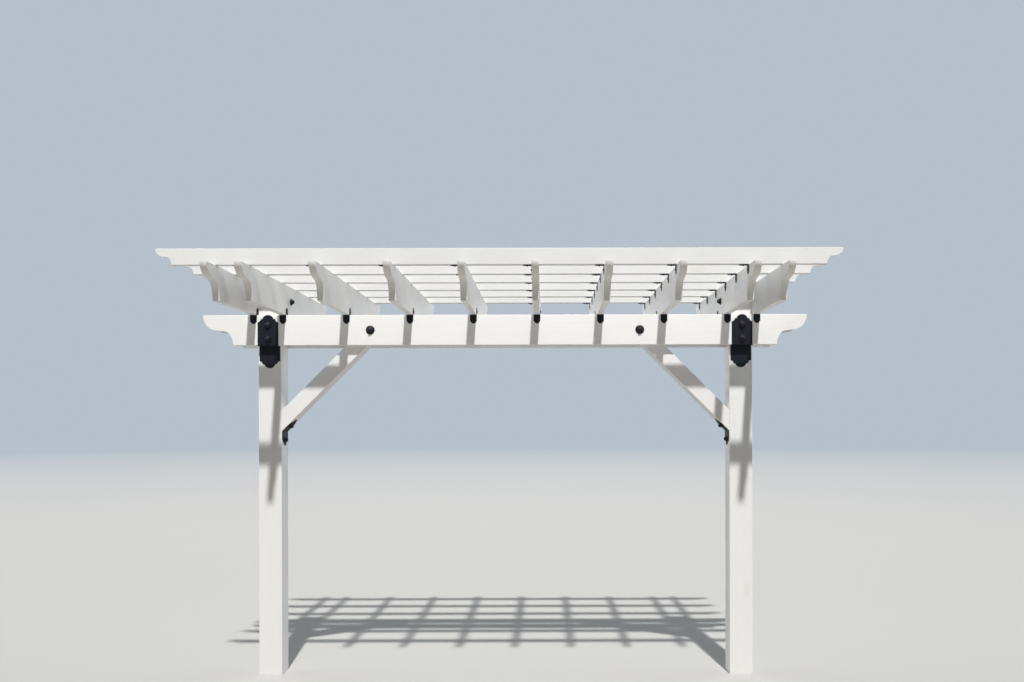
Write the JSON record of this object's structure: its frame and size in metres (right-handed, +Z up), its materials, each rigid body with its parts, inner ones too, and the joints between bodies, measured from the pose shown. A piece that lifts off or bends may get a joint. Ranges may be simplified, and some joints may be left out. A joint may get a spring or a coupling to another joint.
{
  "type": "pergola",
  "caption": "White timber pergola on two posts: twin beams, knee braces, scroll-cut rafters and top slats, joined by black scalloped steel brackets, clips and cap nuts.",
  "frame": {"origin": "centre of the left post's foot, at ground level", "axes": "+X to the right along the beams, +Y to the back, +Z up"},
  "size_m": [3.6576, 1.8288, 2.4638],
  "materials": {
    "white_timber": "solid white exterior paint, satin",
    "black_plate": "black powder coat, fine texture",
    "black_nuts": "black coated cap nuts and washers, satin"
  },
  "bodies": {
    "root": {"post_left": "white_timber", "post_right": "white_timber", "beam_front": "white_timber", "beam_back": "white_timber", "rafter_01": "white_timber", "rafter_02": "white_timber", "rafter_03": "white_timber", "rafter_04": "white_timber", "rafter_05": "white_timber", "rafter_06": "white_timber", "rafter_07": "white_timber", "rafter_08": "white_timber", "rafter_09": "white_timber", "rafter_10": "white_timber", "top_slat_1": "white_timber", "top_slat_2": "white_timber", "top_slat_3": "white_timber", "top_slat_4": "white_timber", "top_slat_5": "white_timber", "top_slat_6": "white_timber", "knee_brace_left": "white_timber", "knee_brace_right": "white_timber", "beam_brackets_front": "black_plate", "beam_brackets_back": "black_plate", "brace_brackets": "black_plate", "rafter_clips_front": "black_plate", "rafter_clips_back": "black_plate", "slat_clips_1": "black_plate", "slat_clips_2": "black_plate", "slat_clips_3": "black_plate", "slat_clips_4": "black_plate", "slat_clips_5": "black_plate", "slat_clips_6": "black_plate", "cap_nuts_on_brackets": "black_nuts", "cap_nuts_on_braces": "black_nuts", "cap_nuts_on_rafters": "black_nuts"}
  },
  "joints": []
}
